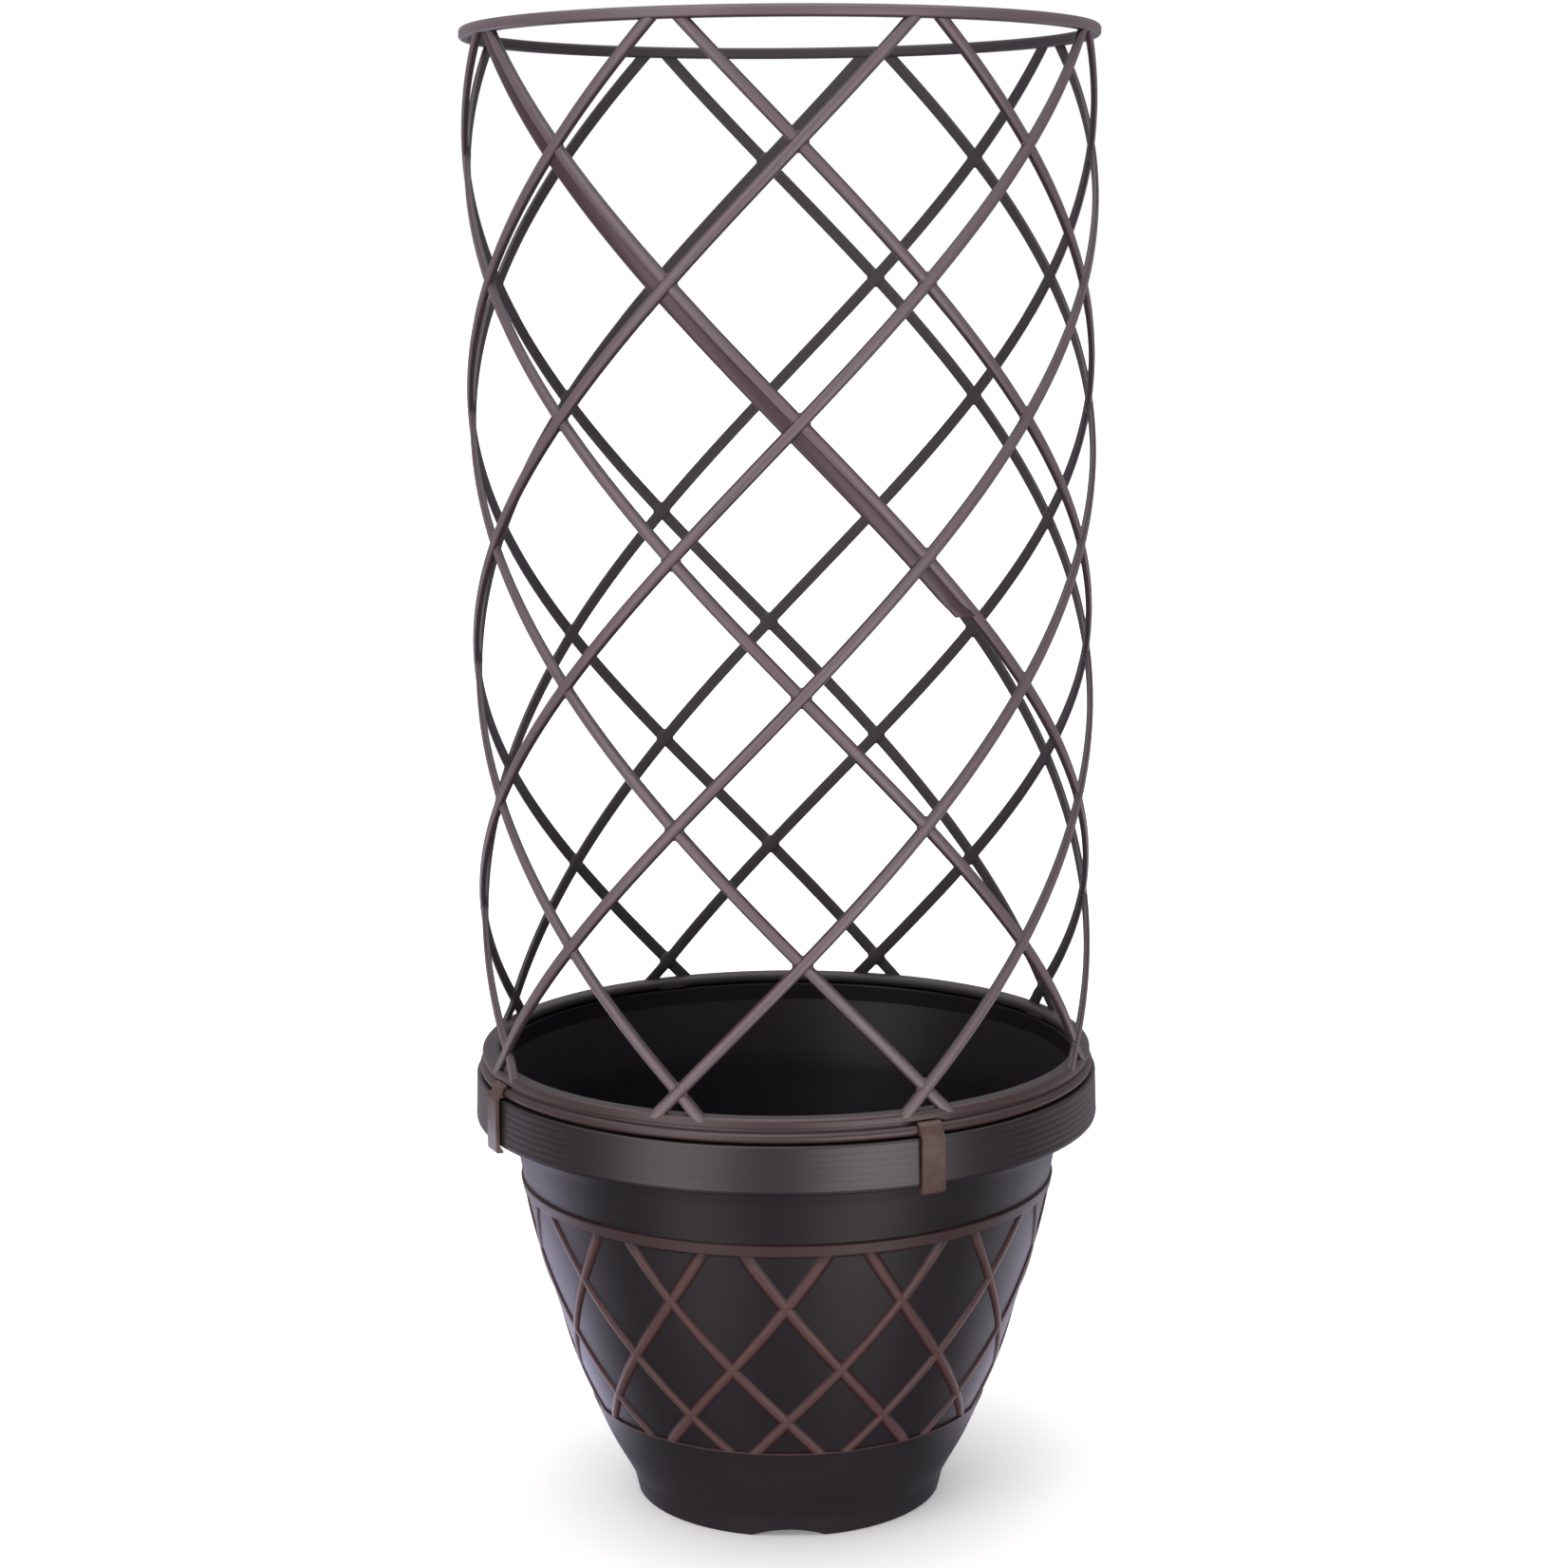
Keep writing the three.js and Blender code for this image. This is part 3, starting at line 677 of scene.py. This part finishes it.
def skirt_face(settings, rim):
    """The rim's face from its lower edge to the shoulder, with its fine ridges."""
    low, high = RIM_FACE
    heights = np.linspace(low, high, settings.ridge_count * RIDGE_STEPS + 1)
    wave = 0.5 - 0.5 * np.cos((heights - low) / (high - low) * settings.ridge_count * 2 * math.pi)
    lean = RIM_DRAFT * (heights - RIM_LEAN[0]) / (RIM_LEAN[1] - RIM_LEAN[0])
    return list(zip(rim - lean - settings.ridge_depth * wave, heights))


def pot_profile(settings):
    """The pot's side view, and the first and last of its points on the brushed face of the rim."""
    rim = settings.rim_radius
    shoulder = rim - RIM_DRAFT
    skirt_inside = shoulder - RIM_WALL
    lip_in = rim - LIP_INSET
    lip_out = lip_in + LIP_WIDTH
    near_bands = [np.arange(low, high, 0.0003) for low, high in BAND_EDGES]
    heights = np.unique(np.round(np.concatenate([np.linspace(0.0105, 0.1885, 60), *near_bands]), 6))
    side = list(zip(side_radius(heights) + band_relief(heights), heights))
    inside_heights = np.linspace(0.187, 0.017, 40)
    inside = list(zip(side_radius(inside_heights) - WALL, inside_heights))

    def arcs(start, *corners, end):
        return [tuple(point) for point in rounded([(*start, 0), *corners, (*end, 0)])]

    foot = arcs((0.0, FLOOR_UNDERSIDE), (FOOT_INSIDE - 0.0008, FLOOR_UNDERSIDE, 0.001),
                (FOOT_INSIDE, 0.007, 0.0006), (FOOT_INSIDE, 0.0, 0.0006), (FOOT_OUTSIDE, 0.0, 0.0006),
                (*SIDE[0], 0.001), end=side[0])[:-1]
    under = arcs(side[-1], (lip_in + WALL, UNDER_SHOULDER, 0.004), (skirt_inside, UNDER_SHOULDER, 0.0009),
                 (skirt_inside, RIM_BOTTOM, 0.0008), (rim - 0.0003, RIM_BOTTOM, 0.001), (rim, 0.2, 0.001),
                 end=(rim, RIM_FACE[0]))[1:-1]
    face = skirt_face(settings, rim)
    lip = arcs(face[-1], (shoulder, SHOULDER, 0.0016), (lip_out, SHOULDER, 0.0008), (lip_out, LIP_TOP, 0.0011),
               (lip_in, LIP_TOP, 0.0011), (lip_in, UNDER_SHOULDER, 0.001), end=inside[0])[1:-1]
    floor = arcs(inside[-1], (inside[-1][0] - 0.0015, FLOOR_TOP, 0.004), end=(0.0, FLOOR_TOP))[1:]
    first = len(foot) + len(side) + len(under)
    edge_below = 6  # points round the rim's lower edge that are brushed too
    edge_above = 7  # and round its shoulder
    return foot + side + under + face + lip + inside + floor, first - edge_below, first + len(face) + edge_above


def notched(radius, angle, height):
    """Lifts the foot's lower edge over each shallow arch."""
    turn = 2 * math.pi / FOOT_NOTCHES
    off = (angle + turn / 2) % turn - turn / 2
    across = radius * np.sin(off)
    bow = (NOTCH_HALF_WIDTH ** 2 + NOTCH_HEIGHT ** 2) / (2 * NOTCH_HEIGHT)
    inside = np.abs(across) < NOTCH_HALF_WIDTH
    arch = np.where(inside, np.sqrt(np.maximum(bow ** 2 - across ** 2, 0)) - bow + NOTCH_HEIGHT, 0)
    ring = (radius > FOOT_INSIDE - 0.0005) & (height < NOTCH_REACH)
    lifted = arch + height * (NOTCH_REACH - arch) / NOTCH_REACH
    return radius, np.where(ring & inside, lifted, height)


def drain_cutters():
    """Round pegs through the floor, each half-way between two notches of the foot."""
    pegs = []
    ring = np.linspace(0, 2 * math.pi, 48, endpoint=False)
    for i in range(DRAINS):
        angle = (i + 0.5) * 2 * math.pi / DRAINS
        x = DRAIN_CIRCLE * math.sin(angle) + DRAIN_RADIUS * np.cos(ring)
        y = -DRAIN_CIRCLE * math.cos(angle) + DRAIN_RADIUS * np.sin(ring)
        low, high = ([(*point, height) for point in zip(x, y)]
                     for height in (FLOOR_UNDERSIDE - 0.006, FLOOR_TOP + 0.005))
        pegs.append(prism("peg", low, high))
    return joined("drain_pegs", pegs)


class PLANTER_OT_pot(bpy.types.Operator):
    """Make the pot with its raised lattice, bands, rim and drain holes"""

    bl_idname = "planter.pot"
    bl_label = "Pot"

    def execute(self, context):
        settings = context.scene.planter_pot
        profile, first, last = pot_profile(settings)
        blank = tidied(turned_mesh("pot_moulding", profile, POT_COLUMNS, False, notched,
                                   lambda ring: int(first <= ring < last)))
        pegs = bpy.data.objects.new("pegs", drain_cutters())
        context.scene.collection.objects.link(pegs)

        def cut_drains(carrier):
            cut = carrier.modifiers.new("drain", "BOOLEAN")
            cut.operation = "DIFFERENCE"
            cut.solver = "EXACT"
            cut.object = pegs

        moulding = evaluated_mesh(blank, cut_drains)
        bpy.data.objects.remove(pegs)
        moulding.set_sharp_from_angle(angle=math.radians(50))
        resin = bronze_resin(settings)
        new_piece("pot_moulding", "pot", moulding, [resin, brushed_rim(settings)], ["pot"])
        turn_per_row = math.pi / settings.rib_columns
        ribs = [wound_strips(SIDE, Strips=settings.rib_columns, Hand=hand, Turn=math.radians(-0.3),
                             Wind=turn_per_row * RIB_ROWS_PER_METRE,
                             Wind_Growth=turn_per_row * RIB_ROWS_GROWTH, Start_Height=RIB_FIRST_ROW,
                             From=float(side_share(LATTICE_BOTTOM)), To=float(side_share(LATTICE_TOP)),
                             Width=settings.rib_width, Outer_Height=settings.rib_height, Inner_Depth=0.001,
                             Offset=0.0, Edge_Power=1.0, Dome_Power=2.4, Base_Power=0.5, Round_Points=28,
                             Steps=56) for hand in (1.0, -1.0)]
        new_piece("pot_lattice_ribs", "pot", joined("pot_lattice_ribs", ribs), [resin], [])
        return {"FINISHED"}


# ---------------------------------------------------------------- hoops

HOOP_COLUMNS = 320  # faces round a hoop
BASE_HOOP_RADII = (0.1445, 0.1535)
BASE_HOOP_UNDERSIDE = 0.2290
LIP_SEAT = (0.1495, 0.2284)  # outside radius and height of the hollow that caps the pot's lip
WEB_OUTSIDE = 0.1509  # outside of the thin web above the bead
GROOVE_FILL = (0.2265, 0.22905, 0.1530)  # low edge, high edge and radius of the filled groove
CLIP_ROOM = math.radians(3.5)  # open groove to each side of a clip's middle
TOP_HOOP_RADII = (0.1495, 0.1551)
TOP_HOOP_TOP = 0.7356


def bead_arc(radius, start, end, steps):
    """Points round the base hoop's bead, in degrees from straight out."""
    turns = np.radians(np.linspace(start, end, steps))
    middle, rise = BEAD_CENTRE
    return [(middle + radius * math.cos(t), rise + radius * math.sin(t), 0) for t in turns]


def base_hoop_profile():
    inner, outer = BASE_HOOP_RADII
    seat, seat_top = LIP_SEAT
    return rounded([
        (seat, BEAD_CENTRE[1], 0), *bead_arc(BEAD_RADIUS, -150, 110, 28),
        (WEB_OUTSIDE, BASE_HOOP_UNDERSIDE, 0.0003), (outer, BASE_HOOP_UNDERSIDE, 0.0006),
        (outer, BASE_HOOP_TOP, 0.0019), (inner, BASE_HOOP_TOP, 0.0022), (inner, seat_top, 0.0004),
        (seat, seat_top, 0.0003),
    ])


def top_hoop_profile():
    inner, outer = TOP_HOOP_RADII
    return rounded([(inner, TOP_HOOP_UNDERSIDE, 0.0016), (outer, TOP_HOOP_UNDERSIDE, 0.0018),
                    (outer, TOP_HOOP_TOP, 0.0022), (inner, TOP_HOOP_TOP, 0.0018)], steps=8)


def shallow_groove(radius, angle, height):
    """Fills the deep groove over the bead, apart from where a clip's jaw turns in it."""
    low, high, face = GROOVE_FILL
    apart = 2 * math.pi / CLIPS
    off = np.abs((angle - FIRST_CLIP + apart / 2) % apart - apart / 2)
    filled = (off > CLIP_ROOM) & (height > low) & (height < high) & (radius < face)
    return np.where(filled, face - (face - radius) * 0.2, radius), height


class PLANTER_OT_hoops(bpy.types.Operator):
    """Make the trellis's base hoop, with its groove and bead, and the top hoop"""

    bl_idname = "planter.hoops"
    bl_label = "Hoops"

    def execute(self, context):
        settings = context.scene.planter_trellis
        base = trellis_resin("hoop_bronze", settings, settings.hoop_colour)
        # The top hoop's outer face takes the strands' painted highlight.
        top = trellis_resin("trellis_bronze", settings, settings.strand_crest_highlight)
        for name, profile, resin in (("base_hoop", base_hoop_profile(), base),
                                     ("top_hoop", top_hoop_profile(), top)):
            mesh = tidied(turned_mesh(name, profile, HOOP_COLUMNS, True, shallow_groove))
            new_piece(name + "_ring", "trellis", mesh, [resin], [name])
        return {"FINISHED"}


# ---------------------------------------------------------------- strands

ROW = 0.0618125  # height from one row of crossings to the next
ROWS = 8
TOP_CROSSING = 0.7379
TURN_PER_METRE = math.pi / STRANDS / ROW
STRAND_TOP = 0.7330  # inside the top hoop
FOOT_BELOW = 0.0023  # how far the strands' feet reach down over the base hoop
FOOT_OUT = 0.0025  # how far out the feet lap, from the cage
INNER_LIFT = 0.0006  # how far out each layer stands from the cage
OUTER_LIFT = 0.0017
SEAM_OFF = math.radians(2.55)  # from an inner strand back to the seam's strand beside it
SEAM_LENGTH = 0.2702  # from the top end down to where the seam's strand ends
SEAM_EXTRA_WIDTH = 0.0030
SEAM_DOME = 0.0014
WEB_THICKNESS = 0.0032


def cage_share(height):
    """How far up the trellis a height comes, from the base hoop to the top hoop."""
    return (height - BASE_HOOP_TOP) / (TOP_HOOP_UNDERSIDE - BASE_HOOP_TOP)


class PLANTER_OT_strands(bpy.types.Operator):
    """Make both layers of wound strands, and the second strand of the trellis's seam"""

    bl_idname = "planter.strands"
    bl_label = "Strands"

    def execute(self, context):
        settings = context.scene.planter_trellis
        resin = bpy.data.materials["trellis_bronze"]
        # The seam strand's crest gets its dim painted highlight.
        seam_resin = trellis_resin("seam_bronze", settings, settings.seam_crest_highlight)
        width = settings.strand_width
        dome = settings.strand_dome
        foot = BASE_HOOP_TOP - FOOT_BELOW
        layers = (
            ("inner_strands", 1.0, STRANDS, FRONT_COLUMN, foot, INNER_LIFT, width, dome, resin,
             [f"inner_strand_{i + 1}" for i in range(STRANDS)]),
            ("outer_strands", -1.0, STRANDS, FRONT_COLUMN, foot, OUTER_LIFT, width, dome, resin,
             [f"outer_strand_{i + 1}" for i in range(STRANDS)]),
            ("seam_strand_edge", 1.0, 1, FIRST_CLIP - SEAM_OFF, STRAND_TOP - SEAM_LENGTH, INNER_LIFT,
             width + SEAM_EXTRA_WIDTH, SEAM_DOME, seam_resin, ["seam_strand"]),
        )
        for name, hand, strips, turn, low, lift, across, crown, material, nodes in layers:
            mesh = wound_strips(CAGE, Strips=strips, Hand=hand, Turn=turn, Wind=TURN_PER_METRE,
                                Start_Height=TOP_CROSSING, From=cage_share(low), To=cage_share(STRAND_TOP),
                                Width=across, Outer_Height=crown, Inner_Depth=settings.strand_edge,
                                Offset=settings.strand_edge + lift, Edge_Power=0.85, Dome_Power=1.0,
                                Base_Power=0.35, Foot_Lap=FOOT_OUT - lift, Foot_Height=low, Round_Points=24,
                                Steps=110)
            mesh.set_sharp_from_angle(angle=math.radians(50))
            new_piece(name, "trellis", mesh, [material], nodes)
        between = settings.strand_edge + (INNER_LIFT + OUTER_LIFT) / 2
        webs = made_by_tree(crossing_web_tree(), Columns=STRANDS, Rows=ROWS,
                            First_Turn=FRONT_COLUMN + math.pi / STRANDS, First_Height=TOP_CROSSING - ROW,
                            Row_Height=ROW, Low_Radius=CAGE[0][0] + between, High_Radius=CAGE[2][0] + between,
                            Low_Height=BASE_HOOP_TOP, High_Height=TOP_HOOP_UNDERSIDE, Reach=settings.web_reach,
                            Thickness=WEB_THICKNESS)
        new_piece("crossing_webs", "trellis", webs, [resin], [])
        return {"FINISHED"}


# ---------------------------------------------------------------- clips

STRAP_IN = 0.15735  # radius of the face towards the rim
STRAP_OUT = 0.15935
JAW_PLAY = 0.00035
FINGER = 0.0013  # thickness of the jaw's finger over the bead
FINGER_END = 76  # degrees that the finger reaches round the bead, from straight out
JAW_END = -46
HOOK_IN = 0.15545  # radius of the hook's tip, under the rim
HOOK_TIP = 0.1956
HOOK_BOTTOM = 0.195


def clip_profile():
    """Side view of a clip: jaw round the bead, strap down the rim's face, hook under its edge."""
    jaw = [point[:2] for point in bead_arc(BEAD_RADIUS + JAW_PLAY, FINGER_END, JAW_END, 14)]
    strap = [(STRAP_IN - JAW_PLAY, jaw[-1][1]), (STRAP_IN, 0.2198), (STRAP_IN, 0.1989), (HOOK_IN, HOOK_TIP),
             (HOOK_IN, HOOK_BOTTOM), (STRAP_OUT - 0.0007, HOOK_BOTTOM), (STRAP_OUT, 0.196), (STRAP_OUT, 0.2215)]
    knuckle = [point[:2] for point in bead_arc(BEAD_RADIUS + JAW_PLAY + FINGER, 0, FINGER_END, 12)]
    return jaw + strap + [point for point in knuckle if point[0] < STRAP_OUT][1:]


class PLANTER_OT_clips(bpy.types.Operator):
    """Make the four clips that hold the trellis to the rim"""

    bl_idname = "planter.clips"
    bl_label = "Clips"

    def execute(self, context):
        settings = context.scene.planter_clips
        resin = clip_resin(settings)
        half = settings.clip_width / 2

        def round_edges(carrier):
            edges = carrier.modifiers.new("edges", "BEVEL")
            edges.width = settings.edge_round
            edges.segments = 3
            edges.limit_method = "ANGLE"
            edges.angle_limit = math.radians(40)
            edges.harden_normals = True

        for i in range(CLIPS):
            sides = [[(side, -radius, height) for radius, height in clip_profile()] for side in (-half, half)]
            blank = prism(f"clip_{i + 1}_strap", *sides)
            blank.transform(Matrix.Rotation(FIRST_CLIP + i * 2 * math.pi / CLIPS, 4, "Z"))
            mesh = evaluated_mesh(tidied(blank), round_edges)
            new_piece(f"clip_{i + 1}_strap", f"clip_{i + 1}", mesh, [resin],
                      [f"rim_clip_{i + 1}"])
        return {"FINISHED"}


# ---------------------------------------------------------------- stage

# The soft edges of the light tent's panels, in degrees, as where each edge is dark and where it is fully lit: the
# left and right edges, from the front towards +X, and the low and high edges, from the horizon.
LEFT_PANEL = ((-64, -52), (-14, -28), (-62, -34), (80, 50))
RIGHT_PANEL = ((4, 22), (62, 46), (-62, -30), (14, -6))
TENT_TINT = (1.0, 0.93, 0.95, 1.0)
BACK_TINT = (0.77, 0.73, 1.0, 1.0)
WHITE = (1.0, 1.0, 1.0, 1.0)
CAMERA_SHIFT = -0.04  # sets the planter a little higher in the frame
TOP_LIGHT_SPREAD = math.radians(80)
FLOOR_HALF = 30.0
FLOOR_DROP = 0.0002  # below the pot's foot


def light_panel(turn, rise, edges):
    left, right, low, high = edges
    return turn.ease(*left) * turn.ease(*right) * rise.ease(*low) * rise.ease(*high)


def light_tent(settings):
    """A world that is white to the camera, and lights the planter as a studio tent does: a tall soft panel on
    the left, a low one on the right, and pale cloth behind, brighter on its left."""
    world = bpy.data.worlds.new("light_tent")
    world.use_nodes = True
    tree = world.node_tree
    x, y, z = parts_of(tree, add_node(tree, "ShaderNodeTexCoord", {}, {}).outputs["Generated"])
    turn = x.maths("ARCTAN2", y * -1.0) * (180 / math.pi)
    rise = z.maths("ARCSINE") * (180 / math.pi)
    left = light_panel(turn, rise, LEFT_PANEL)
    right = light_panel(turn, rise, RIGHT_PANEL)
    back = turn.maths("ABSOLUTE").ease(80, 135) * rise.ease(-46, -26) * rise.ease(-28, -16, 1.0, 0.1)
    back = back * turn.ease(-40, 40, 1.2, 0.8)
    light = left * settings.left_light + right * settings.right_light + back * settings.back_light
    seen = Value(tree, add_node(tree, "ShaderNodeLightPath", {}, {}).outputs["Is Camera Ray"])
    power = seen + (1.0 - seen) * (light + settings.room_light)
    tint = mix_colours(tree, back.maths("MINIMUM", 1.0), TENT_TINT, BACK_TINT)
    background = tree.nodes["Background"]
    tree.links.new(mix_colours(tree, seen, tint, WHITE), background.inputs["Color"])
    tree.links.new(power.socket, background.inputs["Strength"])
    return world


class PLANTER_OT_stage(bpy.types.Operator):
    """Set up the camera, the pale floor and the soft lights"""

    bl_idname = "planter.stage"
    bl_label = "Studio"

    def execute(self, context):
        settings = context.scene.planter_stage
        scene = context.scene
        scene.view_settings.view_transform = "Standard"
        camera = bpy.data.objects.new("camera", bpy.data.cameras.new("camera"))
        scene.collection.objects.link(camera)
        camera.data.sensor_width = 36.0
        camera.data.lens = settings.lens
        camera.data.shift_y = CAMERA_SHIFT
        camera.data.clip_end = 100.0
        tilt = Matrix.Rotation(math.pi / 2 - settings.camera_pitch, 4, "X")
        roll = Matrix.Rotation(settings.camera_roll, 4, "Z")
        place = Matrix.Translation((0, -settings.camera_distance, settings.camera_height))
        camera.matrix_world = place @ tilt @ roll
        scene.camera = camera
        scene.world = light_tent(settings)

        floor_mesh = bpy.data.meshes.new("floor")
        corners = [(x * FLOOR_HALF, y * FLOOR_HALF, 0) for x, y in ((-1, -1), (1, -1), (1, 1), (-1, 1))]
        floor_mesh.from_pydata(corners, [], [(0, 1, 2, 3)])
        floor = bpy.data.objects.new("floor", floor_mesh)
        floor.location.z = -FLOOR_DROP
        scene.collection.objects.link(floor)
        material, tree, point, shader = new_material("pale_floor")
        base = tuple(settings.floor_colour)
        shade = tuple(channel * 0.985 for channel in base[:3]) + (1.0,)
        tone = mix_colours(tree, noise(tree, point, 0.5), base, shade)
        tree.links.new(tone, shader.inputs["Base Color"])
        for name, value in (("Roughness", 0.9), ("Specular IOR Level", 0.1), ("Emission Color", WHITE),
                            ("Emission Strength", 0.2)):
            shader.inputs[name].default_value = value
        material.cycles.emission_sampling = "NONE"
        floor_mesh.materials.append(material)
        # The tent shines from below the horizon too, so only the camera's rays see the floor.
        floor.visible_diffuse = False
        floor.visible_glossy = False
        floor.visible_shadow = False

        top = bpy.data.lights.new("top_light", "SUN")
        top.energy = settings.top_light
        top.angle = TOP_LIGHT_SPREAD
        lamp = bpy.data.objects.new("top_light", top)
        scene.collection.objects.link(lamp)
        return {"FINISHED"}


# ---------------------------------------------------------------- panel

OPERATORS = (PLANTER_OT_stage, PLANTER_OT_pot, PLANTER_OT_hoops, PLANTER_OT_strands, PLANTER_OT_clips)
SETTINGS = {"planter_pot": PLANTER_PG_pot, "planter_trellis": PLANTER_PG_trellis,
            "planter_clips": PLANTER_PG_clips, "planter_stage": PLANTER_PG_stage}


class PLANTER_PT_panel(bpy.types.Panel):
    """Lists the planter's pieces and their settings"""

    bl_idname = "PLANTER_PT_panel"
    bl_label = "Planter with trellis"
    bl_space_type = "VIEW_3D"
    bl_region_type = "UI"
    bl_category = "Planter"

    def draw(self, context):
        for operator in OPERATORS:
            self.layout.operator(operator.bl_idname)
        for name, group in SETTINGS.items():
            box = self.layout.box()
            for field in group.__annotations__:
                box.prop(getattr(context.scene, name), field)


CLASSES = (*SETTINGS.values(), *OPERATORS, PLANTER_PT_panel)


def register():
    for kind in CLASSES:
        bpy.utils.register_class(kind)
    for name, group in SETTINGS.items():
        setattr(bpy.types.Scene, name, bpy.props.PointerProperty(type=group))


def unregister():
    for name in SETTINGS:
        delattr(bpy.types.Scene, name)
    for kind in reversed(CLASSES):
        bpy.utils.unregister_class(kind)


def main():
    register()
    for operator in OPERATORS:
        getattr(bpy.ops.planter, operator.bl_idname.split(".")[1])()


if __name__ == "__main__":
    main()
